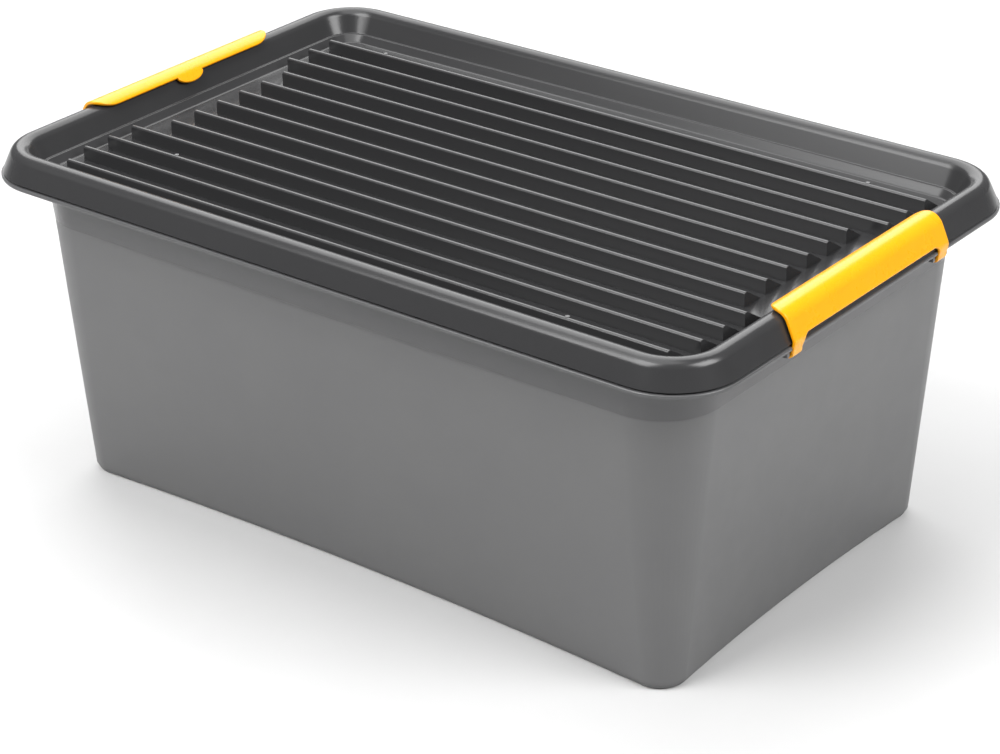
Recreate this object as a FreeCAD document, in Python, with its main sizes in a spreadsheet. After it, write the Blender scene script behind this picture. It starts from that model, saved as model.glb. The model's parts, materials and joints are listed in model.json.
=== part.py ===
import FreeCAD, Part
import math
import os
import Sketcher
from FreeCAD import Placement, Rotation, Vector

# A lidded storage box with two clip handles. Frame: +X along the long side, +Z up,
# origin in the middle of the base at the level it stands on. Millimetres.

SIZES = {
    # rim flange of the container: the widest outline, which every upper outline is inset from
    "rim_length": 580.0,
    "rim_width": 380.0,
    "rim_corner": 47.0,
    "flange_under": 223.4,
    "flange_upper": 226.0,
    # container wall: outline at the base, at the crease under the rim and at the top
    "wall_thick": 2.2,
    "floor_thick": 2.6,
    "base_length": 496.4,
    "base_width": 297.8,
    "base_corner": 20.0,
    "base_bow_long": 7.2,
    "base_bow_short": 4.3,
    "foot_height": 4.0,
    "foot_step": 1.2,
    "crease_height": 193.0,
    "crease_length": 527.6,
    "crease_width": 330.8,
    "crease_corner": 40.0,
    "crease_bow_long": 3.7,
    "crease_bow_short": 2.7,
    "flare_height": 211.0,
    "flare_length": 530.4,
    "flare_width": 334.0,
    "mouth_inset": 20.8,
    "lip_inset": 12.0,
    "lip_upper": 238.0,
    "bottom_round": 3.0,
    # lid: sloping skirt, half-round bead, recess wall, ledge and sunken floor
    "skirt_inset": 1.2,
    "skirt_under": 227.0,
    "shoulder_inset": 8.75,
    "bead_upper": 243.6,
    "bead_round": 7.4,
    "bead_middle_inset": 13.8,
    "bead_middle_height": 235.8,
    "lid_thick": 2.2,
    "recess_inset": 18.57,
    "ledge_inset": 26.5,
    "ledge_height": 228.1,
    "ledge_step": 1.5,
    "plug_inset": 23.6,
    "floor_inset": 33.0,
    "floor_upper": 223.1,
    # channel under the bead, which the container's lip stands in
    "channel_outer": 11.0,
    "channel_inner": 16.8,
    "channel_upper": 240.6,
    # ridges of the lid floor: a steep front, a narrow crest and a long back slope
    "ridge_count": 13.0,
    "ridge_pitch": 23.0,
    "ridge_first": 128.5,
    "ridge_depth": 17.5,
    "ridge_rise": 9.7,
    "ridge_root": 0.4,
    "crest_start": 0.9,
    "crest_flat": 1.7,
    "ridge_half": 250.3,
    "ridge_half_short": 234.8,
    "ridge_half_last": 243.0,
    "notch_near": -58.5,
    "notch_far": 80.0,
    "groove_roof": 2.8,
    # clip pivots: a round bar across each notch in the flange, held by two lugs
    "pivot_inset": 4.0,
    "pivot_height": 221.8,
    "bar_radius": 2.0,
    "bar_clear": 0.06,
    "bar_root": 0.5,
    "hook_radius": 4.4,
    "hook_mouth": 3.4,
    "leg_start": 78.0,
    "clip_half": 88.0,
    "notch_gap": 0.8,
    "lug_thick": 3.0,
    "lug_inside": 3.5,
    "lug_outside": 2.6,
    "lug_below": 0.6,
    # clip: strip that hugs the bead, with a half-round thumb tab on its inner lip
    "clip_thick": 2.5,
    "clip_radius": 11.5,
    "panel_run": 10.8,
    "clip_corner": 5.0,
    "tab_radius": 12.5,
    "tab_drop": 4.4,
    "tab_lip": 19.8,
    "tab_reach": 16.7,
    # how far a cutting shape runs past what it cuts
    "overrun": 1.0,
}

doc = FreeCAD.newDocument("StorageBox")
sheet = doc.addObject("Spreadsheet::Sheet", "Dims")
for row, (name, value) in enumerate(SIZES.items(), start=1):
    sheet.set(f"A{row}", name)
    sheet.set(f"B{row}", str(value))
    sheet.setAlias(f"B{row}", name)
doc.recompute()

ORIGIN = (-1, 1)
START = 1
END = 2
CENTRE = 3

# steps of the thumb tab's half-round outline, in degrees from the lip
TAB_ANGLES = (0, 15, 30, 45, 60, 75, 90)
# steps of the clip's arch round the bead, in degrees up from straight out
ARCH_ANGLES = (24, 33, 42, 51, 60, 69, 78, 87, 96, 105, 114, 123, 132, 140)
# side view of the thumb tab and of a leg: millimetres out from and up from the pivot
TAB_PROFILE = ((-18.6, 21.4), (-16.7, 19.8), (-19.1, 17.5), (-20.6, 15.4), (-22.6, 15.8),
               (-20.9, 18.9))
LEG_PROFILE = ((2.4, 0.0), (4.4, 0.0), (5.6, 4.0), (5.6, 7.2), (4.8, 9.0), (3.1, 8.3),
               (3.3, 6.4), (3.3, 4.6), (2.4, 3.4))


def size(expression):
    """Number that an expression on the sheet gives."""
    return float(sheet.evalExpression(str(expression)))


def drive(sketch, kind, *where, by):
    """Add one driving constraint and bind it to an expression."""
    index = sketch.addConstraint(Sketcher.Constraint(kind, *where, size(by)))
    sketch.setExpression(f"Constraints[{index}]", str(by))


def new_sketch(body, name, plane, offset="0"):
    """Sketch on one of the body's own origin planes, moved along its normal by offset."""
    sketch = body.newObject("Sketcher::SketchObject", name)
    support = next(f for f in body.Origin.OriginFeatures if f.Role == plane)
    sketch.AttachmentSupport = [(support, "")]
    sketch.MapMode = "FlatFace"
    sketch.setExpression("AttachmentOffset.Base.z", str(offset))
    return sketch


def add_outline(sketch, length, width, corner, bow_long="0", bow_short="0"):
    """Rounded rectangle about the origin; each side is drawn in by its bow at the middle."""
    half_x = size(f"({length})/2")
    half_y = size(f"({width})/2")
    radius = size(corner)
    first = sketch.GeometryCount
    signs = [(1, 1), (-1, 1), (-1, -1), (1, -1)]
    for turn, (sx, sy) in enumerate(signs):
        centre = Vector(sx * (half_x - radius), sy * (half_y - radius), 0)
        circle = Part.Circle(centre, Vector(0, 0, 1), radius)
        angle = turn * math.pi / 2
        sketch.addGeometry(Part.ArcOfCircle(circle, angle, angle + math.pi / 2), False)
    corners = [sketch.Geometry[first + turn] for turn in range(4)]
    for turn in range(4):
        begin = corners[(turn + 1) % 4].StartPoint
        finish = corners[turn].EndPoint
        along_x = turn % 2 == 0
        bow = bow_long if along_x else bow_short
        if size(bow) > 0:
            inward = Vector(0, -1, 0) if along_x else Vector(1, 0, 0)
            if turn > 1:
                inward = -inward
            middle = (begin + finish) / 2 + inward * size(bow)
            sketch.addGeometry(Part.Arc(begin, middle, finish), False)
        else:
            sketch.addGeometry(Part.LineSegment(begin, finish), False)
    for turn, (sx, sy) in enumerate(signs):
        arc = first + turn
        side = first + 4 + turn
        after = first + (turn + 1) % 4
        drive(sketch, "Radius", arc, by=corner)
        drive(sketch, "DistanceX", arc, CENTRE, by=f"{sx}*(({length})/2 - ({corner}))")
        drive(sketch, "DistanceY", arc, CENTRE, by=f"{sy}*(({width})/2 - ({corner}))")
        level, upright = ("Horizontal", "Vertical") if turn % 2 == 0 else ("Vertical", "Horizontal")
        sketch.addConstraint(Sketcher.Constraint(level, arc, CENTRE, arc, START))
        sketch.addConstraint(Sketcher.Constraint(upright, arc, CENTRE, arc, END))
        sketch.addConstraint(Sketcher.Constraint("Coincident", side, START, after, START))
        sketch.addConstraint(Sketcher.Constraint("Coincident", side, END, arc, END))
        bow, run = (bow_long, length) if turn % 2 == 0 else (bow_short, width)
        if size(bow) > 0:
            chord = f"(({run})/2 - ({corner}))"
            drive(sketch, "Radius", side, by=f"({chord}^2 + ({bow})^2)/(2*({bow}))")


def add_rim_outline(sketch, inset):
    """Outline of the rim flange moved inwards by inset."""
    add_outline(sketch, f"Dims.rim_length - 2*({inset})", f"Dims.rim_width - 2*({inset})",
                f"Dims.rim_corner - ({inset})")


def add_polygon(sketch, points):
    """Closed polygon whose corners are pairs of expressions."""
    first = sketch.GeometryCount
    corners = [Vector(size(x), size(y), 0) for x, y in points]
    count = len(corners)
    for index in range(count):
        sketch.addGeometry(Part.LineSegment(corners[index], corners[(index + 1) % count]), False)
    for index, (x, y) in enumerate(points):
        edge = first + index
        following = first + (index + 1) % count
        sketch.addConstraint(Sketcher.Constraint("Coincident", edge, END, following, START))
        drive(sketch, "DistanceX", edge, START, by=x)
        drive(sketch, "DistanceY", edge, START, by=y)


def add_box(sketch, low_x, low_y, high_x, high_y):
    """Upright rectangle between two corners given by expressions."""
    add_polygon(sketch, [(low_x, low_y), (high_x, low_y), (high_x, high_y), (low_x, high_y)])


def add_circle(sketch, x, y, radius):
    """Circle placed and sized by expressions."""
    centre = Vector(size(x), size(y), 0)
    index = sketch.addGeometry(Part.Circle(centre, Vector(0, 0, 1), size(radius)), False)
    drive(sketch, "DistanceX", index, CENTRE, by=x)
    drive(sketch, "DistanceY", index, CENTRE, by=y)
    drive(sketch, "Radius", index, by=radius)


def extrude(body, kind, name, sketch, length, symmetric=False, reverse=False):
    """Pad or Pocket of one sketch, with its length bound to the sheet."""
    before = body.Shape.Volume if not body.Shape.isNull() else 0.0
    feature = body.newObject(f"PartDesign::{kind}", name)
    feature.Profile = sketch
    feature.setExpression("Length", str(length))
    if symmetric:
        feature.SideType = "Symmetric"
    feature.Reversed = reverse
    doc.recompute()
    check_change(kind, name, before, body.Shape.Volume)
    return feature


def loft(body, kind, name, sketches):
    """Additive or subtractive loft through sketches of the same outline."""
    before = body.Shape.Volume if not body.Shape.isNull() else 0.0
    feature = body.newObject(f"PartDesign::{kind}", name)
    feature.Profile = sketches[0]
    feature.Sections = sketches[1:]
    feature.Ruled = True
    doc.recompute()
    check_change(kind, name, before, body.Shape.Volume)
    return feature


def check_change(kind, name, before, after):
    """Stop if a cut removed nothing or an added piece added nothing."""
    grows = kind in ("Pad", "AdditiveLoft")
    if (after > before) != grows:
        raise RuntimeError(f"{name} ({kind}) left the volume at {before:.0f} -> {after:.0f}")


def round_edges(body, name, chosen, radius):
    """Fillet the edges of the body's last solid that the test chooses."""
    tip = body.Tip
    edges = [f"Edge{n}" for n, edge in enumerate(tip.Shape.Edges, start=1) if chosen(edge)]
    fillet = body.newObject("PartDesign::Fillet", name)
    fillet.Base = (tip, edges)
    fillet.setExpression("Radius", str(radius))
    doc.recompute()
    return fillet


def at_height(edge, height):
    """True for an edge that lies wholly at one height."""
    box = edge.BoundBox
    return abs(box.ZMin - height) < 0.01 and abs(box.ZMax - height) < 0.01


def new_body(label):
    """PartDesign body with its own name."""
    body = doc.addObject("PartDesign::Body", label)
    body.Label = label
    return body


def rim_at(body, name, height, inset):
    """Sketch of the rim outline moved inwards by inset, at one height."""
    sketch = new_sketch(body, name, "XY_Plane", height)
    add_rim_outline(sketch, inset)
    return sketch


def band_at(body, name, height, thinner, level):
    """Sketch of the straight band's outline at the crease or at the flare."""
    sketch = new_sketch(body, name, "XY_Plane", height)
    add_outline(sketch, f"Dims.{level}_length - 2*({thinner})", f"Dims.{level}_width - 2*({thinner})",
                f"Dims.crease_corner - ({thinner})")
    return sketch


def panel_at(body, name, height, thinner, level):
    """Sketch of the bowed wall panel's outline at the base or at the crease."""
    sketch = new_sketch(body, name, "XY_Plane", height)
    add_outline(sketch, f"Dims.{level}_length - 2*({thinner})", f"Dims.{level}_width - 2*({thinner})",
                f"Dims.{level}_corner - ({thinner})", f"Dims.{level}_bow_long",
                f"Dims.{level}_bow_short")
    return sketch


def make_container():
    """Tapered tub with bowed panels, a straight band, a flange, a lip and four clip pivots."""
    body = new_body("container")
    foot = panel_at(body, "foot_outline", "0", "Dims.foot_step", "base")
    extrude(body, "Pad", "foot", foot, "Dims.foot_height")
    panels = [panel_at(body, "base_outline", "Dims.foot_height", "0", "base"),
              panel_at(body, "crease_outline", "Dims.crease_height", "0", "crease")]
    loft(body, "AdditiveLoft", "panels", panels)
    band = [band_at(body, "band_lower", "Dims.crease_height", "0", "crease"),
            band_at(body, "band_upper", "Dims.flare_height", "0", "flare")]
    loft(body, "AdditiveLoft", "band", band)
    flare = [band_at(body, "flare_lower", "Dims.flare_height", "0", "flare"),
             rim_at(body, "flare_upper", "Dims.flange_under", "Dims.mouth_inset")]
    loft(body, "AdditiveLoft", "flare", flare)
    flange = rim_at(body, "flange_outline", "Dims.flange_under", "0")
    extrude(body, "Pad", "flange", flange, "Dims.flange_upper - Dims.flange_under")
    lip = rim_at(body, "lip_outline", "Dims.flange_upper", "Dims.lip_inset")
    extrude(body, "Pad", "lip", lip, "Dims.lip_upper - Dims.flange_upper")

    inner = "Dims.wall_thick"
    inside_mouth = f"Dims.mouth_inset + {inner}"
    lip_inside = rim_at(body, "lip_inside", "Dims.lip_upper", f"Dims.lip_inset + {inner}")
    extrude(body, "Pocket", "lip_hollow", lip_inside, "Dims.lip_upper - Dims.flange_upper")
    mouth = rim_at(body, "mouth_inside", "Dims.flange_upper", inside_mouth)
    extrude(body, "Pocket", "mouth_hollow", mouth, "Dims.flange_upper - Dims.flange_under")
    flare = [rim_at(body, "flare_inside_upper", "Dims.flange_under", inside_mouth),
             band_at(body, "flare_inside_lower", "Dims.flare_height", inner, "flare")]
    loft(body, "SubtractiveLoft", "flare_hollow", flare)
    band = [band_at(body, "band_inside_upper", "Dims.flare_height", inner, "flare"),
            band_at(body, "band_inside_lower", "Dims.crease_height", inner, "crease")]
    loft(body, "SubtractiveLoft", "band_hollow", band)
    panels = [panel_at(body, "panel_inside_upper", "Dims.crease_height", inner, "crease"),
              panel_at(body, "panel_inside_lower", "Dims.floor_thick", inner, "base")]
    loft(body, "SubtractiveLoft", "panel_hollow", panels)
    add_clip_pivots(body)
    round_edges(body, "bottom_round", lambda edge: at_height(edge, 0.0), "Dims.bottom_round")
    return body


def add_clip_pivots(body):
    """Two notches in the flange at each end, each with two lugs and a bar between them."""
    pivot = "(Dims.rim_length/2 - Dims.pivot_inset)"
    low = "(Dims.leg_start - Dims.notch_gap)"
    high = "(Dims.clip_half + Dims.notch_gap)"
    lugs = new_sketch(body, "lug_outline", "XY_Plane", "Dims.flange_under")
    notches = new_sketch(body, "notch_outline", "XY_Plane", "Dims.flange_upper")
    for end in (1, -1):
        inside = f"{end}*({pivot} - Dims.hook_radius - Dims.notch_gap)"
        outside = f"{end}*(Dims.rim_length/2 + Dims.overrun)"
        lug_in = f"{end}*({pivot} - Dims.lug_inside)"
        lug_out = f"{end}*({pivot} + Dims.lug_outside)"
        for side in (1, -1):
            add_box(lugs, lug_in, f"{side}*({low} - Dims.lug_thick)", lug_out, f"{side}*{low}")
            add_box(lugs, lug_in, f"{side}*{high}", lug_out, f"{side}*({high} + Dims.lug_thick)")
            add_box(notches, inside, f"{side}*{low}", outside, f"{side}*{high}")
    drop = "Dims.flange_under - Dims.pivot_height + Dims.bar_radius + Dims.lug_below"
    extrude(body, "Pad", "lugs", lugs, drop, reverse=True)
    extrude(body, "Pocket", "notches", notches, "Dims.flange_upper - Dims.flange_under")
    for side, word in ((1, "far"), (-1, "near")):
        bars = new_sketch(body, f"bars_{word}", "XZ_Plane", f"-{side}*({low} + {high})/2")
        for end in (1, -1):
            add_circle(bars, f"{end}*{pivot}", "Dims.pivot_height", "Dims.bar_radius")
        extrude(body, "Pad", f"pivot_bars_{word}", bars, f"{high} - {low} + 2*Dims.bar_root",
                symmetric=True)


def make_lid():
    """Lid with a skirt, a rounded bead, a sunken floor and a row of ridges."""
    body = new_body("lid")
    floor_under = "(Dims.floor_upper - Dims.lid_thick)"
    skirt = [rim_at(body, "skirt_lower", "Dims.skirt_under", "Dims.skirt_inset"),
             rim_at(body, "skirt_upper", "Dims.bead_upper", "Dims.shoulder_inset")]
    loft(body, "AdditiveLoft", "skirt", skirt)
    plug = [rim_at(body, "plug_upper", "Dims.skirt_under", "Dims.plug_inset"),
            rim_at(body, "plug_lower", floor_under, "Dims.floor_inset - Dims.lid_thick")]
    loft(body, "AdditiveLoft", "plug", plug)
    recess = [rim_at(body, "recess_upper", "Dims.bead_upper", "Dims.recess_inset"),
              rim_at(body, "recess_lower", "Dims.ledge_height", "Dims.ledge_inset")]
    loft(body, "SubtractiveLoft", "recess", recess)
    sink = [rim_at(body, "sink_upper", "Dims.ledge_height", "Dims.ledge_inset + Dims.ledge_step"),
            rim_at(body, "sink_lower", "Dims.floor_upper", "Dims.floor_inset")]
    loft(body, "SubtractiveLoft", "sunken_floor", sink)
    round_edges(body, "bead_round", lambda edge: at_height(edge, size("Dims.bead_upper")),
                "Dims.bead_round")

    lower = rim_at(body, "channel_lower", "Dims.skirt_under", "Dims.skirt_inset + Dims.lid_thick")
    add_rim_outline(lower, "Dims.plug_inset")
    upper = rim_at(body, "channel_upper", "Dims.channel_upper", "Dims.channel_outer")
    add_rim_outline(upper, "Dims.channel_inner")
    loft(body, "SubtractiveLoft", "channel", [lower, upper])
    add_ridges(body, floor_under)
    return body


def add_ridges(body, floor_under):
    """Ridges of the lid floor, cut short beside the clips and hollowed from below."""
    span = "Dims.ridge_pitch*(Dims.ridge_count - 1)"
    rise = "(Dims.floor_upper + Dims.ridge_rise)"
    root = "Dims.floor_upper - Dims.ridge_root"
    front = "Dims.ridge_first"
    back = f"({front} + Dims.ridge_depth)"
    crest = f"{front} + Dims.crest_start"
    profile = new_sketch(body, "ridge_profile", "YZ_Plane")
    add_polygon(profile, [(front, root), (back, root), (back, "Dims.floor_upper"),
                          (f"{crest} + Dims.crest_flat", rise), (crest, rise),
                          (front, f"{rise} - Dims.crest_start")])
    ridge = extrude(body, "Pad", "ridge", profile, "2*Dims.ridge_half", symmetric=True)
    repeat(body, "ridges", ridge, span)
    ends = new_sketch(body, "ridge_ends", "XY_Plane", "Dims.floor_upper")
    last = f"{front} - {span}"
    for side in (1, -1):
        beyond = f"{side}*(Dims.ridge_half + Dims.overrun)"
        add_box(ends, f"{side}*Dims.ridge_half_short", "Dims.notch_near", beyond, "Dims.notch_far")
        add_box(ends, f"{side}*Dims.ridge_half_last", f"{last} - Dims.overrun", beyond,
                f"{last} + Dims.ridge_depth + Dims.overrun")
    extrude(body, "Pocket", "short_ridges", ends, "Dims.ridge_rise + Dims.overrun", reverse=True)
    hollow = new_sketch(body, "groove_profile", "YZ_Plane")
    slope = "(Dims.ridge_rise/(Dims.ridge_depth - Dims.crest_start - Dims.crest_flat))"
    peak = f"({rise} - Dims.groove_roof)"
    below = f"{floor_under} - Dims.overrun"
    wall = f"{front} + Dims.lid_thick"
    add_polygon(hollow, [(wall, below), (f"{wall} + ({peak} - ({below}))/{slope}", below),
                         (wall, peak)])
    groove = extrude(body, "Pocket", "groove", hollow,
                     "2*(Dims.ridge_half_short - Dims.lid_thick)", symmetric=True)
    repeat(body, "grooves", groove, span)


def repeat(body, name, feature, span):
    """Repeat one feature towards -Y, as many times as there are ridges."""
    pattern = body.newObject("PartDesign::LinearPattern", name)
    pattern.Originals = [feature]
    axis = next(f for f in body.Origin.OriginFeatures if f.Role == "Y_Axis")
    pattern.Direction = (axis, [""])
    pattern.Reversed = True
    pattern.Mode = "Extent"
    pattern.setExpression("Length", span)
    pattern.setExpression("Occurrences", "Dims.ridge_count")
    body.Tip = pattern
    doc.recompute()


def make_clip(label, turn):
    """Clip handle for the +X end, turned about Z for the other end."""
    body = new_body(label)
    pivot_x = "(Dims.rim_length/2 - Dims.pivot_inset)"
    pivot_z = "Dims.pivot_height"

    def place(points):
        return [(f"{pivot_x} + ({x})", f"{pivot_z} + ({z})") for x, z in points]

    arch = new_sketch(body, "arch_profile", "XZ_Plane")
    inner = "(Dims.clip_radius - Dims.clip_thick)"
    outside = [arch_point("Dims.clip_radius", angle) for angle in ARCH_ANGLES]
    inside = [arch_point(inner, angle) for angle in ARCH_ANGLES]
    add_polygon(arch, [arch_point(inner, ARCH_ANGLES[0], "Dims.panel_run"),
                       arch_point("Dims.clip_radius", ARCH_ANGLES[0], "Dims.panel_run")]
                + outside + inside[::-1])
    extrude(body, "Pad", "arch", arch, "2*Dims.clip_half", symmetric=True)
    lip = f"({pivot_z} + Dims.tab_lip)"
    round_edges(body, "lip_corners", lambda edge: is_lip_corner(edge, size(lip)), "Dims.clip_corner")

    tab = new_sketch(body, "tab_profile", "XZ_Plane")
    add_polygon(tab, place(TAB_PROFILE))
    extrude(body, "Pad", "tab", tab, "2*Dims.tab_radius", symmetric=True)
    trims = new_sketch(body, "tab_trims", "YZ_Plane", f"{pivot_x} - 2*Dims.tab_reach")
    for side in (1, -1):
        curve = [(f"{side}*Dims.tab_radius*{math.cos(math.radians(angle)):.4f}",
                  f"{lip} - Dims.tab_drop*{math.sin(math.radians(angle)):.4f}")
                 for angle in TAB_ANGLES]
        outer = f"{side}*(Dims.tab_radius + Dims.overrun)"
        add_polygon(trims, curve + [(outer, f"{lip} - Dims.tab_drop - Dims.overrun"), (outer, lip)])
    extrude(body, "Pocket", "tab_rounded", trims, "Dims.tab_reach", reverse=True)

    leg_middle = "(Dims.leg_start + Dims.clip_half)/2"
    leg_width = "Dims.clip_half - Dims.leg_start"
    for side, word in ((1, "far"), (-1, "near")):
        leg = new_sketch(body, f"leg_{word}_profile", "XZ_Plane", f"-{side}*{leg_middle}")
        add_polygon(leg, place(LEG_PROFILE))
        extrude(body, "Pad", f"leg_{word}", leg, leg_width, symmetric=True)
        eye = new_sketch(body, f"hook_{word}_outline", "XZ_Plane", f"-{side}*{leg_middle}")
        add_circle(eye, pivot_x, pivot_z, "Dims.hook_radius")
        extrude(body, "Pad", f"hook_{word}", eye, leg_width, symmetric=True)
    full_width = "2*(Dims.clip_half + Dims.overrun)"
    bore = new_sketch(body, "bore_outline", "XZ_Plane")
    add_circle(bore, pivot_x, pivot_z, "Dims.bar_radius + Dims.bar_clear")
    extrude(body, "Pocket", "bore", bore, full_width, symmetric=True)
    mouth = new_sketch(body, "mouth_outline", "XZ_Plane")
    half = "Dims.hook_mouth/2"
    above = "Dims.hook_radius + Dims.notch_gap"
    add_polygon(mouth, place([(f"-{half}", "0"), (half, "0"), (half, above), (f"-{half}", above)]))
    extrude(body, "Pocket", "hook_mouth", mouth, full_width, symmetric=True)
    body.Placement = Placement(Vector(0, 0, 0), Rotation(Vector(0, 0, 1), turn))
    return body


def arch_point(radius, angle, run="0"):
    """Point of the clip's arch round the bead, moved on along the tangent by run."""
    sine = f"{math.sin(math.radians(angle)):.6f}"
    cosine = f"{math.cos(math.radians(angle)):.6f}"
    return (f"Dims.rim_length/2 - Dims.bead_middle_inset + ({radius})*{cosine} + ({run})*{sine}",
            f"Dims.bead_middle_height + ({radius})*{sine} - ({run})*{cosine}")


def is_lip_corner(edge, lip_height):
    """True for the two short edges across the inner lip of a clip at its ends."""
    box = edge.BoundBox
    at_end = abs(abs(box.Center.y) - size("Dims.clip_half")) < 0.01
    arch_thick = size("Dims.clip_thick")
    across = abs(edge.Length - arch_thick) < 0.01
    return at_end and across and box.ZMin > lip_height - arch_thick


pieces = [make_container(), make_lid(), make_clip("clip_right", 0), make_clip("clip_left", 180)]
doc.recompute()

for item in doc.Objects:
    if any(word in item.State for word in ("Invalid", "Error")):
        raise RuntimeError(f"{item.Label} failed: {item.State}")

os.makedirs("parts", exist_ok=True)
for piece in pieces:
    shape = piece.Shape
    if shape.isNull() or not shape.isValid() or len(shape.Solids) != 1:
        raise RuntimeError(f"{piece.Label}: bad shape, {len(shape.Solids)} solids")
    shape.exportStep(f"parts/{piece.Label}.step")
    box = shape.BoundBox
    print(f"{piece.Label}: {shape.Volume/1000:.0f} cm3, X {box.XMin:.1f}..{box.XMax:.1f},"
          f" Y {box.YMin:.1f}..{box.YMax:.1f}, Z {box.ZMin:.1f}..{box.ZMax:.1f}")
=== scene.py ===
import bmesh
import bpy
import json
import math
from mathutils import Euler, Matrix, Vector
from mathutils.geometry import interpolate_bezier


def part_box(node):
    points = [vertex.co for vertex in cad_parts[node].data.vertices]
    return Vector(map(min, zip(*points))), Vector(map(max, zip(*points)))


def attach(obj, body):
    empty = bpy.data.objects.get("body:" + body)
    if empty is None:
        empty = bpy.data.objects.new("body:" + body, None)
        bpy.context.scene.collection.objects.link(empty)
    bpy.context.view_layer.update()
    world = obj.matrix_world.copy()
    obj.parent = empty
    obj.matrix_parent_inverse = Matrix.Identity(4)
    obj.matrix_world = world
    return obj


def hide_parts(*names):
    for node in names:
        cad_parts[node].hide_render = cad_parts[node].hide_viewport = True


# Moulded storage box: a grey tub, a dark ribbed lid and two yellow clip handles.
# Lengths in this file are millimetres; MM turns them into metres when a mesh is made.
# A name that ends in INSET is a distance inwards from the outer edge of the tub's flange.
MM = 0.001

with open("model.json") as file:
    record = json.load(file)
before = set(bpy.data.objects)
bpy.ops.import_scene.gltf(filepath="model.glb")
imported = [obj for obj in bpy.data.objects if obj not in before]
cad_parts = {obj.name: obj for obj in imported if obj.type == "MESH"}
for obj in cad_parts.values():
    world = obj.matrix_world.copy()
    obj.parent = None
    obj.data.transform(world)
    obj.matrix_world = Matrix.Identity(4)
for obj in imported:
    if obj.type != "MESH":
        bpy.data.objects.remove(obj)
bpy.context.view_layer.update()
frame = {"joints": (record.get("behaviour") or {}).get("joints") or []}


def box_mm(node):
    """Lowest and highest corner of a CAD node, in millimetres."""
    low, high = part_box(node)
    return low / MM, high / MM


tub_high = box_mm("container")[1]
lid_low, lid_high = box_mm("lid")
clip_high = box_mm("clip_right")[1]
hinge = next(joint for joint in frame["joints"] if joint["name"] == "clip_right_hinge")
pivot = Vector(hinge["pos_m"]) / MM

# the flange outline, which every other rim outline is inset from
RIM_X = tub_high.x
RIM_Y = tub_high.y
RIM_CORNER = 47.0

# straight pieces that a corner, a long side and a short side are made of
CORNER_STEPS = 14
LONG_STEPS = 30
SHORT_STEPS = 20

# how far a cutting shape reaches past what it cuts, and how near two vertices are welded
CLEAR = 1.0
WELD = 0.01


# ---- outlines and rings ----

def outline(half_x, half_y, corner, bow_long=0.0, bow_short=0.0):
    """Rounded rectangle, anticlockwise; each side is drawn in by its bow at the middle."""
    points = []
    sides = ((1, 1, half_x - corner, bow_long, LONG_STEPS),
             (-1, 1, half_y - corner, bow_short, SHORT_STEPS),
             (-1, -1, half_x - corner, bow_long, LONG_STEPS),
             (1, -1, half_y - corner, bow_short, SHORT_STEPS))
    for turn, (sign_x, sign_y, run, bow, steps) in enumerate(sides):
        centre = Vector((sign_x * (half_x - corner), sign_y * (half_y - corner)))
        for step in range(CORNER_STEPS + 1):
            angle = (turn + step / CORNER_STEPS) * math.pi / 2
            points.append(centre + corner * Vector((math.cos(angle), math.sin(angle))))
        inward = Vector((-math.cos(angle), -math.sin(angle)))
        along = Vector((-math.sin(angle), math.cos(angle)))
        begin = points[-1]
        for step in range(1, steps):
            share = step / steps
            arch = 4 * share * (1 - share)
            points.append(begin + along * 2 * run * share + inward * bow * arch)
    return points


def rim(inset):
    """The flange outline moved inwards."""
    return outline(RIM_X - inset, RIM_Y - inset, RIM_CORNER - inset)


def rings(bm, levels):
    """Closed shell through a list of (outline, height): capped at its first and last ring."""
    points, height = levels[0]
    made = bmesh.ops.create_circle(bm, cap_ends=True, radius=1.0, segments=len(points))
    ring = made["verts"]
    place(ring, points, height)
    loops = [ring_edges(ring)]
    for points, height in levels[1:]:
        grown = bmesh.ops.extrude_edge_only(bm, edges=loops[-1])
        fresh = {item for item in grown["geom"] if isinstance(item, bmesh.types.BMVert)}
        ring = [next(edge.other_vert(vert) for edge in vert.link_edges
                     if edge.other_vert(vert) in fresh) for vert in ring]
        place(ring, points, height)
        loops.append(ring_edges(ring))
    bmesh.ops.contextual_create(bm, geom=loops[-1])
    return loops


def place(ring, points, height):
    """Put the vertices of one ring on an outline at one height."""
    for vert, point in zip(ring, points):
        vert.co = Vector((point.x, point.y, height)) * MM


def ring_edges(ring):
    """The edges that join a ring's vertices in order."""
    edges = []
    for vert, following in zip(ring, ring[1:] + ring[:1]):
        edges.append(next(edge for edge in vert.link_edges if edge.other_vert(vert) == following))
    return edges


def soften(bm, edges, radius, steps=3):
    """Round over some edges."""
    bmesh.ops.bevel(bm, geom=edges, offset=radius * MM, segments=steps, profile=0.5,
                    affect="EDGES", material=-1, clamp_overlap=True)


def thicken(bm, spots, way):
    """Solid made by moving a flat closed outline along a direction."""
    face = bm.faces.new([bm.verts.new(spot * MM) for spot in spots])
    grown = bmesh.ops.extrude_face_region(bm, geom=[face], use_keep_orig=True)
    moved = [item for item in grown["geom"] if isinstance(item, bmesh.types.BMVert)]
    bmesh.ops.translate(bm, vec=way * MM, verts=moved)
    bmesh.ops.recalc_face_normals(bm, faces=bm.faces)


def long_bar(bm, side_view, half):
    """Solid bar with the given side view, reaching half its length to each side along X."""
    thicken(bm, [Vector((-half, y, z)) for y, z in side_view], Vector((2 * half, 0, 0)))


def block(bm, low, high, radius=0.0):
    """Box between two corners, with its edges softened."""
    low, high = Vector(low), Vector(high)
    size = (high - low) * MM
    matrix = Matrix.Translation((low + high) / 2 * MM) @ Matrix.Diagonal((*size, 1))
    made = bmesh.ops.create_cube(bm, size=1.0, matrix=matrix)
    if radius:
        edges = {edge for vert in made["verts"] for edge in vert.link_edges}
        soften(bm, list(edges), radius, 2)


# ---- pieces ----

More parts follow.
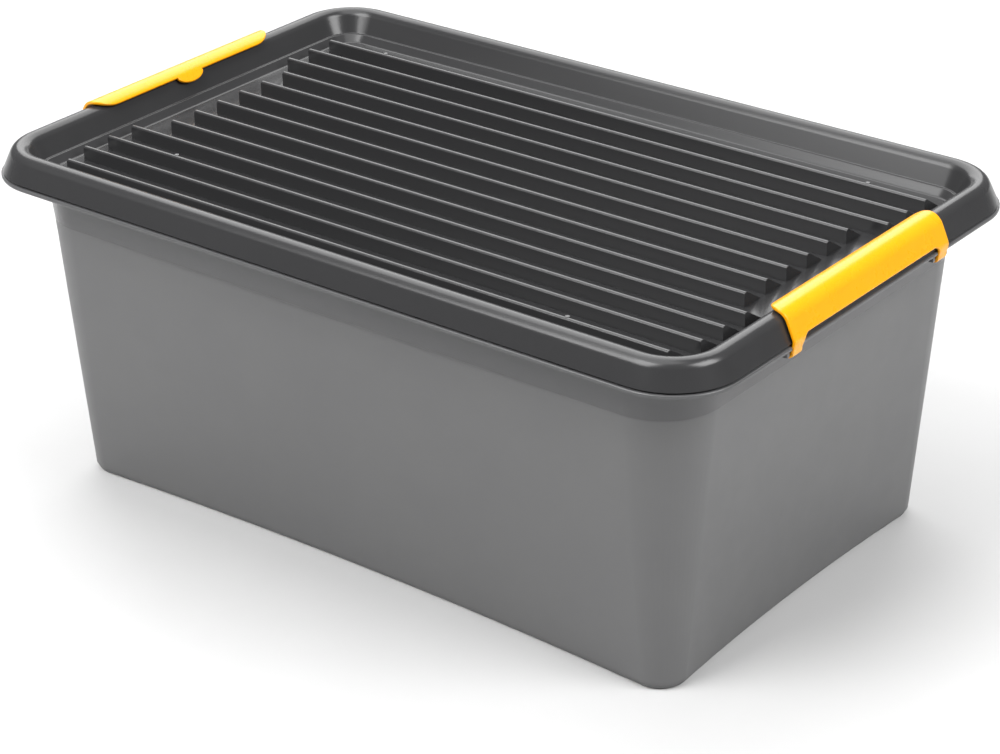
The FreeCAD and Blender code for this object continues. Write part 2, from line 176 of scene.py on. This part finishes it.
def to_object(bm, name):
    """Turn a bmesh into a named object in the scene."""
    bmesh.ops.remove_doubles(bm, verts=bm.verts, dist=WELD * MM)
    bmesh.ops.recalc_face_normals(bm, faces=bm.faces)
    mesh = bpy.data.meshes.new(name)
    bm.to_mesh(mesh)
    bm.free()
    piece = bpy.data.objects.new(name, mesh)
    bpy.context.scene.collection.objects.link(piece)
    return piece


def combine(piece, tool_bm, operation):
    """Join a bmesh to a piece, or cut it away, and keep the result as the piece's mesh."""
    tool = to_object(tool_bm, "tool")
    modifier = piece.modifiers.new(operation.lower(), "BOOLEAN")
    modifier.object = tool
    modifier.operation = operation
    modifier.solver = "EXACT"
    graph = bpy.context.evaluated_depsgraph_get()
    result = bpy.data.meshes.new_from_object(piece.evaluated_get(graph))
    piece.modifiers.clear()
    before = piece.data
    piece.data = result
    result.name = piece.name
    bpy.data.meshes.remove(before)
    bpy.data.objects.remove(tool)


def finish_piece(piece, material, body, sharp=38):
    """Shade a piece, give it its material and let it stand for its CAD node."""
    mesh = piece.data
    mesh.materials.clear()
    mesh.materials.append(material)
    mesh.shade_smooth()
    mesh.set_sharp_from_angle(angle=math.radians(sharp))
    weighted = piece.modifiers.new("even shading", "WEIGHTED_NORMAL")
    weighted.keep_sharp = True
    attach(piece, body)
    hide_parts(body)


# ---- the tub ----

# wall outlines: half length, half width, corner radius, bow of the long side, of the short side
BASE = (248.2, 148.9, 20.0, 7.2, 4.3)
CREASE = (263.8, 165.4, 40.0, 3.7, 2.7)
BAND_FOOT = (263.8, 165.4, 40.0, 0.0, 0.0)
BAND_TOP = (265.2, 167.0, 40.0, 0.0, 0.0)

WALL = 2.2
FLOOR_THICK = 2.6
FOOT_STEP = 1.2
FOOT_HEIGHT = 4.0
CREASE_HEIGHT = 193.0
BAND_HEIGHT = 211.0
FLANGE_UNDER = 223.4
FLANGE_UPPER = 226.0
FLARE_INSET = 20.8
LIP_INSET = 12.0

# radii of the tub's rounded edges
FOOT_ROUND = 2.8
STEP_ROUND = 0.5
FLANGE_ROUND = 0.9
LIP_ROUND = 0.7
FLOOR_ROUND = 2.0

# each clip leg's end of the tub and side of that end, and the notch in the flange that it fills
LEGS = ((1, 1), (1, -1), (-1, 1), (-1, -1))
LEG_START = 78.0
HOOK_DEPTH = 4.4
NOTCH_GAP = 0.8
NOTCH_NEAR = LEG_START - NOTCH_GAP
NOTCH_FAR = clip_high.y + NOTCH_GAP

# the lugs beside each notch, and the bar between them that a hook turns on
LUG_WIDE = 3.0
LUG_BEHIND = 3.5
LUG_BEYOND = 2.6
LUG_BELOW = 2.6
LUG_BITE = 0.2
LUG_ROUND = 0.5
BAR_RADIUS = 2.0
BAR_BITE = 0.5
BAR_SIDES = 24


def wall_ring(sizes, height, thinner=0.0):
    """One ring of the tub's wall: an outline moved inwards, and its height."""
    half_x, half_y, corner, bow_long, bow_short = sizes
    return outline(half_x - thinner, half_y - thinner, corner - thinner, bow_long, bow_short), height


def tub_shell():
    """Tapered wall, crease, straight band and flare, then the flange, the lip and the inside."""
    bm = bmesh.new()
    loops = rings(bm, [
        wall_ring(BASE, 0.0, FOOT_STEP), wall_ring(BASE, FOOT_HEIGHT, FOOT_STEP),
        wall_ring(BASE, FOOT_HEIGHT), wall_ring(CREASE, CREASE_HEIGHT),
        wall_ring(BAND_FOOT, CREASE_HEIGHT), wall_ring(BAND_TOP, BAND_HEIGHT),
        (rim(FLARE_INSET), FLANGE_UNDER), (rim(0.0), FLANGE_UNDER), (rim(0.0), FLANGE_UPPER),
        (rim(LIP_INSET), FLANGE_UPPER), (rim(LIP_INSET), tub_high.z),
        (rim(LIP_INSET + WALL), tub_high.z), (rim(LIP_INSET + WALL), FLANGE_UPPER),
        (rim(FLARE_INSET + WALL), FLANGE_UPPER), (rim(FLARE_INSET + WALL), FLANGE_UNDER),
        wall_ring(BAND_TOP, BAND_HEIGHT, WALL), wall_ring(BAND_FOOT, CREASE_HEIGHT, WALL),
        wall_ring(CREASE, CREASE_HEIGHT, WALL), wall_ring(BASE, FLOOR_THICK, WALL)])
    foot, step, inside_floor = loops[0], loops[2], loops[-1]
    flange, lip = loops[7] + loops[8], loops[10] + loops[11]
    soften(bm, foot, FOOT_ROUND, 4)
    soften(bm, step, STEP_ROUND, 2)
    soften(bm, flange, FLANGE_ROUND)
    soften(bm, lip, LIP_ROUND)
    soften(bm, inside_floor, FLOOR_ROUND, 4)
    return to_object(bm, "moulded_tub")


def leg_notches():
    """Blocks that cut the flange open where the clips' legs pass through it."""
    notches = bmesh.new()
    for end, side in LEGS:
        across = sorted((side * NOTCH_NEAR, side * NOTCH_FAR))
        along = sorted((end * (pivot.x - HOOK_DEPTH - NOTCH_GAP), end * (RIM_X + CLEAR)))
        block(notches, (along[0], across[0], FLANGE_UNDER - CLEAR),
              (along[1], across[1], FLANGE_UPPER + CLEAR))
    return notches


def add_hinge_bars(tub):
    """Two lugs under the flange beside each notch, with the bar that a clip's hook turns on."""
    fittings = bmesh.new()
    fittings.from_mesh(tub.data)
    lengthways = Matrix.Rotation(math.pi / 2, 4, "X")
    for end, side in LEGS:
        for start in (NOTCH_NEAR - LUG_WIDE, NOTCH_FAR):
            across = sorted((side * start, side * (start + LUG_WIDE)))
            along = sorted((end * (pivot.x - LUG_BEHIND), end * (pivot.x + LUG_BEYOND)))
            block(fittings, (along[0], across[0], pivot.z - LUG_BELOW),
                  (along[1], across[1], FLANGE_UNDER + LUG_BITE), LUG_ROUND)
        middle = Vector((end * pivot.x, side * (NOTCH_NEAR + NOTCH_FAR) / 2, pivot.z)) * MM
        bmesh.ops.create_cone(fittings, cap_ends=True, segments=BAR_SIDES,
                              radius1=BAR_RADIUS * MM, radius2=BAR_RADIUS * MM,
                              depth=(NOTCH_FAR - NOTCH_NEAR + 2 * BAR_BITE) * MM,
                              matrix=Matrix.Translation(middle) @ lengthways)
    fittings.to_mesh(tub.data)
    fittings.free()


def make_tub(material):
    """Tapered tub with its flange and lip, and the bars that the clips turn on."""
    tub = tub_shell()
    combine(tub, leg_notches(), "DIFFERENCE")
    add_hinge_bars(tub)
    finish_piece(tub, material, "container")


# ---- the lid ----

LID_FLOOR = 223.1
LID_FLOOR_INSET = 33.0
UNDERSIDE_INSET = 30.8
LID_WALL = 2.2

# the strip round the floor, the skirt that stands on the flange and the hollow under the rim
STRIP_HEIGHT = 228.1
STRIP_OUTER_INSET = 26.5
STRIP_INNER_INSET = 28.0
SKIRT_HEIGHT = 227.0
SKIRT_OUTER_INSET = 1.2
SKIRT_INNER_INSET = 3.4
HOLLOW_HEIGHT = 240.6
HOLLOW_OUTER_INSET = 11.0
HOLLOW_INNER_INSET = 16.8
HOLLOW_FOOT_INSET = 23.6

# the rounded rim: a circular bead between two angles, from the outside over to the inside
BEAD_INSET = 13.8
BEAD_RADIUS = 7.8
BEAD_HEIGHT = lid_high.z - BEAD_RADIUS
BEAD_STEPS = 16
BEAD_FIRST = 155.5
BEAD_LAST = 27.1

# radii of the lid's rounded edges
SKIRT_ROUND = 0.6
STRIP_ROUND = 0.5
LID_FLOOR_ROUND = 1.2
HOLLOW_ROUND = 1.5

# the ridges, counted from the back of the lid; the short ones leave room for the thumb tabs
RIDGE_COUNT = 13
RIDGE_PITCH = 23.0
RIDGE_FIRST = 128.5
RIDGE_DEPTH = 17.5
RIDGE_HALF = 250.3
SHORT_RIDGE_HALF = 234.8
SHORT_RIDGES = range(3, 9)
FRONT_RIDGE_HALF = 243.0
RIDGE_BITE = 0.4
CREST = 232.8
CREST_BACK = 2.6
CREST_CHAMFER = 0.9
CREST_THICK = 2.8
CREST_ROUND = 0.45
# edges no further below the crest than this are rounded
CREST_EDGES = 1.2

# the gates' marks on the crests: place along the ridge and number of the ridge
GATE_MARKS = ((-189.0, 10), (-199.0, 0), (169.0, 12), (206.0, 0))
GATE_BACK = 3.4
GATE_SINK = 0.4
GATE_DEPTH = 1.2
GATE_FOOT_RADIUS = 1.9
GATE_TOP_RADIUS = 1.5
GATE_SIDES = 20


def bead_rings():
    """Rings of the rounded rim, from its outer side over the top to its inner side."""
    levels = []
    for step in range(BEAD_STEPS + 1):
        angle = math.radians(BEAD_FIRST + (BEAD_LAST - BEAD_FIRST) * step / BEAD_STEPS)
        levels.append((rim(BEAD_INSET + BEAD_RADIUS * math.cos(angle)),
                       BEAD_HEIGHT + BEAD_RADIUS * math.sin(angle)))
    return levels


def lid_shell():
    """Floor pressed down inside the rounded rim, which is hollow below and ends in a skirt."""
    bm = bmesh.new()
    levels = [(rim(UNDERSIDE_INSET), lid_low.z), (rim(HOLLOW_FOOT_INSET), SKIRT_HEIGHT),
              (rim(HOLLOW_INNER_INSET), HOLLOW_HEIGHT), (rim(HOLLOW_OUTER_INSET), HOLLOW_HEIGHT),
              (rim(SKIRT_INNER_INSET), SKIRT_HEIGHT), (rim(SKIRT_OUTER_INSET), SKIRT_HEIGHT)]
    levels += bead_rings()
    levels += [(rim(STRIP_OUTER_INSET), STRIP_HEIGHT), (rim(STRIP_INNER_INSET), STRIP_HEIGHT),
               (rim(LID_FLOOR_INSET), LID_FLOOR)]
    loops = rings(bm, levels)
    skirt, hollow = loops[5] + loops[4], loops[2] + loops[3]
    strip, floor_edge = loops[-3] + loops[-2], loops[-1]
    soften(bm, skirt, SKIRT_ROUND)
    soften(bm, strip, STRIP_ROUND)
    soften(bm, floor_edge, LID_FLOOR_ROUND)
    soften(bm, hollow, HOLLOW_ROUND)
    return to_object(bm, "pressed_lid")


def ridge_front(index):
    """Where the upright front face of one ridge stands."""
    return RIDGE_FIRST - RIDGE_PITCH * index


def ridge_half(index):
    """Half length of one ridge."""
    if index == RIDGE_COUNT - 1:
        return FRONT_RIDGE_HALF
    return SHORT_RIDGE_HALF if index in SHORT_RIDGES else RIDGE_HALF


def ridge_bars():
    """Saw-tooth bars on the lid's floor: upright in front, narrow crest, long slope behind."""
    ridges = bmesh.new()
    for index in range(RIDGE_COUNT):
        front = ridge_front(index)
        back = front + RIDGE_DEPTH
        root = LID_FLOOR - RIDGE_BITE
        bar = bmesh.new()
        long_bar(bar, [(front, root), (back, root), (back, LID_FLOOR), (front + CREST_BACK, CREST),
                       (front + CREST_CHAMFER, CREST), (front, CREST - CREST_CHAMFER)],
                 ridge_half(index))
        upper = [edge for edge in bar.edges
                 if min(vert.co.z for vert in edge.verts) > (CREST - CREST_EDGES) * MM]
        soften(bar, upper, CREST_ROUND, 3)
        mesh = bpy.data.meshes.new("bar")
        bar.to_mesh(mesh)
        bar.free()
        ridges.from_mesh(mesh)
        bpy.data.meshes.remove(mesh)
    return ridges


def ridge_hollows():
    """Wedges that hollow the ridges from below and leave them a wall thick."""
    hollows = bmesh.new()
    below = lid_low.z - CLEAR
    peak = CREST - CREST_THICK
    slope = (CREST - LID_FLOOR) / (RIDGE_DEPTH - CREST_BACK)
    for index in range(RIDGE_COUNT):
        wall = ridge_front(index) + LID_WALL
        long_bar(hollows, [(wall, below), (wall + (peak - below) / slope, below), (wall, peak)],
                 SHORT_RIDGE_HALF - LID_WALL)
    return hollows


def add_gate_marks(lid):
    """Small round marks where the plastic entered the mould."""
    marks = bmesh.new()
    marks.from_mesh(lid.data)
    for along, index in GATE_MARKS:
        middle = Vector((along, ridge_front(index) + GATE_BACK, CREST - GATE_SINK)) * MM
        bmesh.ops.create_cone(marks, cap_ends=True, segments=GATE_SIDES,
                              radius1=GATE_FOOT_RADIUS * MM, radius2=GATE_TOP_RADIUS * MM,
                              depth=GATE_DEPTH * MM, matrix=Matrix.Translation(middle))
    marks.to_mesh(lid.data)
    marks.free()


def make_lid(material):
    """Lid pressed down inside its rounded rim, with thirteen saw-tooth ridges."""
    lid = lid_shell()
    combine(lid, ridge_bars(), "UNION")
    combine(lid, ridge_hollows(), "DIFFERENCE")
    add_gate_marks(lid)
    finish_piece(lid, material, "lid")


# ---- the clips ----

# the side view: a straight tab, an arch round the rim bead, a straight panel, a leg and a hook
CLIP_THICK = 2.4
CLIP_ROUND = 0.8
ARCH_RADIUS = 10.2
ARCH_FIRST = 140.0
ARCH_LAST = 24.0
ARCH_STEPS = 40
PANEL_RUN = 10.8
STRAIGHT_STEPS = 6
LEG_BEND_ABOVE = 3.4
LEG_BEND_BELOW = 3.2
LEG_STEPS = 16
HOOK_RADIUS = 3.23
HOOK_LAST = -228.0
HOOK_STEPS = 24

# the flat outline: the thumb tab, the rounded shoulders, the legs' ends and the gap between them
TAB_HALF = 12.5
TAB_LONG = 6.0
SHOULDER_LONG = 12.0
SHOULDER_WIDE = 17.0
LEG_END_ROUND = 2.0
GAP_ROUND = 6.0

# how near a cut has to be to a vertex to use it, and what keeps the tip inside the last stretch
CUT_SNAP = 0.0001
TIP_GUARD = 0.000001


def on_circle(angle):
    """Point of the unit circle at an angle in radians."""
    return Vector((math.cos(angle), math.sin(angle)))


def clip_path():
    """Side view of a clip's middle layer, from thumb tab over the bead to the hook's end."""
    centre = Vector((RIM_X - BEAD_INSET, BEAD_HEIGHT))
    hub = Vector((pivot.x, pivot.z))
    first, last = math.radians(ARCH_FIRST), math.radians(ARCH_LAST)
    edge = centre + ARCH_RADIUS * on_circle(first)
    tab_way = Vector((-math.sin(first), math.cos(first)))
    path = [edge + tab_way * TAB_LONG * (1 - step / STRAIGHT_STEPS) for step in range(STRAIGHT_STEPS)]
    path += [centre + ARCH_RADIUS * on_circle(first + (last - first) * step / ARCH_STEPS)
             for step in range(ARCH_STEPS + 1)]
    arch_end = path[-1]
    panel_way = Vector((math.sin(last), -math.cos(last)))
    path += [arch_end + panel_way * PANEL_RUN * step / STRAIGHT_STEPS
             for step in range(1, STRAIGHT_STEPS + 1)]
    start = path[-1]
    finish = hub + Vector((HOOK_RADIUS, 0))
    leg = interpolate_bezier(start.to_3d(), (start + panel_way * LEG_BEND_ABOVE).to_3d(),
                             (finish + Vector((0, LEG_BEND_BELOW))).to_3d(), finish.to_3d(),
                             LEG_STEPS)
    path += [point.to_2d() for point in leg[1:]]
    path += [hub + HOOK_RADIUS * on_circle(math.radians(HOOK_LAST * step / HOOK_STEPS))
             for step in range(1, HOOK_STEPS + 1)]
    return path


def arc(centre, radii, first, last, steps):
    """Points of an arc in the flat clip, angles in degrees; two different radii give an ellipse."""
    points = []
    for step in range(steps + 1):
        angle = math.radians(first + (last - first) * step / steps)
        points.append(Vector((centre[0] + radii[0] * math.cos(angle),
                              centre[1] + radii[1] * math.sin(angle))))
    return points


def clip_outline(total):
    """Outline of a flat clip of this total length: x from thumb tab to hooks, y across the clip."""
    half = clip_high.y
    leg_end = total - LEG_END_ROUND
    leg_round = (LEG_END_ROUND, LEG_END_ROUND)
    arch = math.radians(ARCH_FIRST - ARCH_LAST) * ARCH_RADIUS
    gap_top = TAB_LONG + arch + PANEL_RUN
    right_half = arc((TAB_LONG, 0), (TAB_LONG, TAB_HALF), 180, 90, 9)
    right_half += arc((TAB_LONG + SHOULDER_LONG, half - SHOULDER_WIDE),
                      (SHOULDER_LONG, SHOULDER_WIDE), 180, 90, 10)
    right_half += arc((leg_end, half - LEG_END_ROUND), leg_round, 90, 0, 4)
    right_half += arc((leg_end, LEG_START + LEG_END_ROUND), leg_round, 0, -90, 4)
    right_half += arc((gap_top + GAP_ROUND, LEG_START - GAP_ROUND), (GAP_ROUND, GAP_ROUND), 90, 180, 6)
    return right_half + [Vector((point.x, -point.y)) for point in right_half[:0:-1]]


def direction(path, index, share):
    """Direction of the path within one stretch, turning evenly from one joint to the next."""
    stretch = path[index + 1] - path[index]
    before = path[index] - path[max(index - 1, 0)]
    after = path[min(index + 2, len(path) - 1)] - path[index + 1]
    return before.lerp(stretch, 0.5).lerp(stretch.lerp(after, 0.5), share).normalized()


def bend(bm, path, lengths, end):
    """Cut the flat clip at every joint of the path, then lay it along the path at one end."""
    for length in lengths[1:-1]:
        geometry = bm.verts[:] + bm.edges[:] + bm.faces[:]
        bmesh.ops.bisect_plane(bm, geom=geometry, dist=CUT_SNAP * MM, plane_no=(1, 0, 0),
                               plane_co=Vector((length, 0, 0)) * MM)
    for vert in bm.verts:
        along = min(max(vert.co.x / MM, 0.0), lengths[-1] - TIP_GUARD)
        index = max(i for i, length in enumerate(lengths[:-1]) if length <= along)
        share = (along - lengths[index]) / (lengths[index + 1] - lengths[index])
        middle = path[index].lerp(path[index + 1], share)
        way = direction(path, index, share)
        outward = Vector((-way.y, way.x))
        spot = middle + outward * vert.co.z / MM
        vert.co = Vector((end * spot.x, end * vert.co.y / MM, spot.y)) * MM


def make_clip(name, body, end, material):
    """Clip cut flat, softened, and bent over the rim bead down to its two hooks."""
    path = clip_path()
    lengths = [0.0]
    for before, after in zip(path, path[1:]):
        lengths.append(lengths[-1] + (after - before).length)
    bm = bmesh.new()
    thicken(bm, [Vector((point.x, point.y, -CLIP_THICK / 2)) for point in clip_outline(lengths[-1])],
            Vector((0, 0, CLIP_THICK)))
    flat_edges = [edge for edge in bm.edges
                  if abs(edge.verts[0].co.z - edge.verts[1].co.z) < CLIP_THICK / 2 * MM]
    soften(bm, flat_edges, CLIP_ROUND, 4)
    bend(bm, path, lengths, end)
    clip = to_object(bm, name)
    finish_piece(clip, material, body, sharp=50)


# ---- materials ----

# slow drifts of tone, worn patches of gloss and the height of the grain, in millimetres
DRIFT_SIZE = 60
RUB_SIZE = 18
GRAIN_HEIGHT = 0.05
# refraction of polypropylene, and how deep light enters it
PLASTIC_IOR = 1.49
GLOW_DEPTH = 2.0
# above the crease, the straight band, the flange and the rest of the tub's top are painted darker, a
# painted shade for the shadow under the flange's overhang, and given a gloss of their own
UNDER_FLANGE_SHADE_TONE = "#565657"
TOP_BAND_GLOSS = 0.24
SHADE_AND_GLOSS_ABOVE = 193.5
SHADE_AND_GLOSS_FADE = 1.5


def linear(hex_colour):
    """An sRGB hex colour as the linear values that the shader sockets take."""
    channels = [int(hex_colour[i:i + 2], 16) / 255 for i in (1, 3, 5)]
    return tuple(c / 12.92 if c <= 0.04045 else ((c + 0.055) / 1.055) ** 2.4 for c in channels) + (1,)


def add(tree, kind, settings=(), values=(), links=()):
    """One shader node, with its settings, its constant inputs and its links."""
    node = tree.nodes.new(kind)
    for name, value in dict(settings).items():
        setattr(node, name, value)
    for name, value in dict(values).items():
        node.inputs[name].default_value = value
    for name, socket in dict(links).items():
        tree.links.new(socket, node.inputs[name])
    return node


def grained(name, light, dark, gloss, grain_mm, grain_depth, streak=(1, 1, 1), sheen_spread=0.06,
            glow=0.0, shade_and_gloss_band=False):
    """Plain surface with slow tone drift, uneven gloss and a fine grain.

    A spark-eroded mould's grain is about 0.1 mm across, and it is drawn about ten times as
    coarse, so that it shows.
    """
    material = bpy.data.materials.new(name)
    material.use_nodes = True
    tree = material.node_tree
    tree.nodes.clear()
    spot = add(tree, "ShaderNodeTexCoord").outputs["Object"]
    stretched = add(tree, "ShaderNodeMapping", values={"Scale": streak},
                    links={"Vector": spot}).outputs["Vector"]
    drift = add(tree, "ShaderNodeTexNoise", values={"Scale": 1 / (DRIFT_SIZE * MM), "Detail": 3.0},
                links={"Vector": stretched}).outputs["Fac"]
    colour = add(tree, "ShaderNodeMix", {"data_type": "RGBA"},
                 {"A": linear(dark), "B": linear(light)}, {"Factor": drift}).outputs["Result"]
    fine = add(tree, "ShaderNodeTexNoise", values={"Scale": 1 / (grain_mm * MM), "Detail": 2.0},
               links={"Vector": spot}).outputs["Fac"]
    rub = add(tree, "ShaderNodeTexNoise", values={"Scale": 1 / (RUB_SIZE * MM), "Detail": 4.0},
              links={"Vector": stretched}).outputs["Fac"]
    rough = add(tree, "ShaderNodeMapRange",
                values={"To Min": gloss - sheen_spread, "To Max": gloss + sheen_spread},
                links={"Value": rub}).outputs["Result"]
    # painted shade: above the crease the colour turns darker, standing in for the shadow under the
    # flange's overhang; the gloss changes there too
    if shade_and_gloss_band:
        height = add(tree, "ShaderNodeSeparateXYZ", links={"Vector": spot}).outputs["Z"]
        band = add(tree, "ShaderNodeMapRange",
                   values={"From Min": (SHADE_AND_GLOSS_ABOVE - SHADE_AND_GLOSS_FADE) * MM,
                           "From Max": SHADE_AND_GLOSS_ABOVE * MM},
                   links={"Value": height}).outputs["Result"]
        colour = add(tree, "ShaderNodeMix", {"data_type": "RGBA"}, {"B": linear(UNDER_FLANGE_SHADE_TONE)},
                     {"Factor": band, "A": colour}).outputs["Result"]
        rough = add(tree, "ShaderNodeMix", {"data_type": "FLOAT"}, {"B": TOP_BAND_GLOSS},
                    {"Factor": band, "A": rough}).outputs["Result"]
    bump = add(tree, "ShaderNodeBump",
               values={"Strength": grain_depth, "Distance": GRAIN_HEIGHT * MM},
               links={"Height": fine}).outputs["Normal"]
    shader = add(tree, "ShaderNodeBsdfPrincipled",
                 values={"IOR": PLASTIC_IOR, "Subsurface Weight": glow,
                         "Subsurface Scale": GLOW_DEPTH * MM},
                 links={"Base Color": colour, "Roughness": rough, "Normal": bump})
    add(tree, "ShaderNodeOutputMaterial", links={"Surface": shader.outputs["BSDF"]})
    return material


# satin mid grey, a little uneven, with a fine grain that spreads the highlights; painted darker above
# the crease as painted shade under the flange
tub_plastic = grained("moulded polypropylene, satin grey", "#6a6a6a", "#656566", 0.42, 0.9, 0.25,
                      shade_and_gloss_band=True)
# near-black and glossy: almost all that is seen of it is what it reflects
lid_plastic = grained("moulded polypropylene, glossy smoked", "#353536", "#2e2e2f", 0.24, 1.2, 0.06,
                      streak=(0.15, 1, 1), sheen_spread=0.04)
# warm yellow that lets a little light through its thin edges
clip_plastic = grained("moulded polypropylene, glossy yellow", "#ffae00", "#fca600", 0.28, 1.0, 0.08,
                       glow=0.05)
# matt and almost white, so it shows the box's soft shadow and no shine
paper = grained("white seamless paper", "#d2d2d2", "#cfcfcf", 0.9, 2.0, 0.02)

make_tub(tub_plastic)
make_lid(lid_plastic)
make_clip("yellow_clip_right", "clip_right", 1, clip_plastic)
make_clip("yellow_clip_left", "clip_left", -1, clip_plastic)

# ---- floor, light and camera; places and sizes here are metres ----

PAPER_HALF = 8
FILL_LIGHT = 0.25
LIGHT_AIM = Vector((0, 0, 0.12))

floor_bm = bmesh.new()
bmesh.ops.create_grid(floor_bm, x_segments=1, y_segments=1, size=PAPER_HALF)
floor = to_object(floor_bm, "floor")
floor.data.materials.append(paper)

world = bpy.data.worlds.new("white studio")
world.use_nodes = True
world.node_tree.nodes["Background"].inputs["Color"].default_value = (1, 1, 1, 1)
world.node_tree.nodes["Background"].inputs["Strength"].default_value = FILL_LIGHT
bpy.context.scene.world = world
bpy.context.scene.view_settings.view_transform = "Standard"


def soft_light(name, spot, watts, width):
    """Square soft light that looks at the middle of the box."""
    lamp = bpy.data.lights.new(name, "AREA")
    lamp.energy = watts
    lamp.size = width
    holder = bpy.data.objects.new(name, lamp)
    holder.location = spot
    holder.rotation_euler = (LIGHT_AIM - Vector(spot)).to_track_quat("-Z", "Y").to_euler()
    bpy.context.scene.collection.objects.link(holder)


# a large panel behind lights the rim and the ridge crests, a smaller one in front the long wall
soft_light("back_panel", (-1.2, 1.5, 1.9), watts=60, width=2.6)
soft_light("front_panel", (-0.7, -1.9, 2.4), watts=80, width=1.8)
# one overhead fills the lid, and the last one lights the end wall at the right
soft_light("top_panel", (-0.3, -0.4, 2.7), watts=26, width=1.9)
soft_light("key_panel", (2.1, 0.3, 2.1), watts=62, width=1.5)

# a long lens that looks down from the front right
CAMERA_TURN = math.radians(38.74)
CAMERA_RISE = math.radians(26.73)
CAMERA_ROLL = math.radians(-1.0)
CAMERA_SPOT = Vector((1.092573, -1.390959, 0.975313))
lens = bpy.data.cameras.new("camera")
lens.sensor_width = 36
lens.lens = 105.31
lens.shift_x = 0.0335
lens.shift_y = -0.0006
lens.clip_start = 0.01
camera = bpy.data.objects.new("camera", lens)
bpy.context.scene.collection.objects.link(camera)
turned = Euler((math.pi / 2 - CAMERA_RISE, 0, CAMERA_TURN)).to_matrix()
rolled = turned @ Matrix.Rotation(CAMERA_ROLL, 3, "Z")
camera.matrix_world = Matrix.Translation(CAMERA_SPOT) @ rolled.to_4x4()
bpy.context.scene.camera = camera
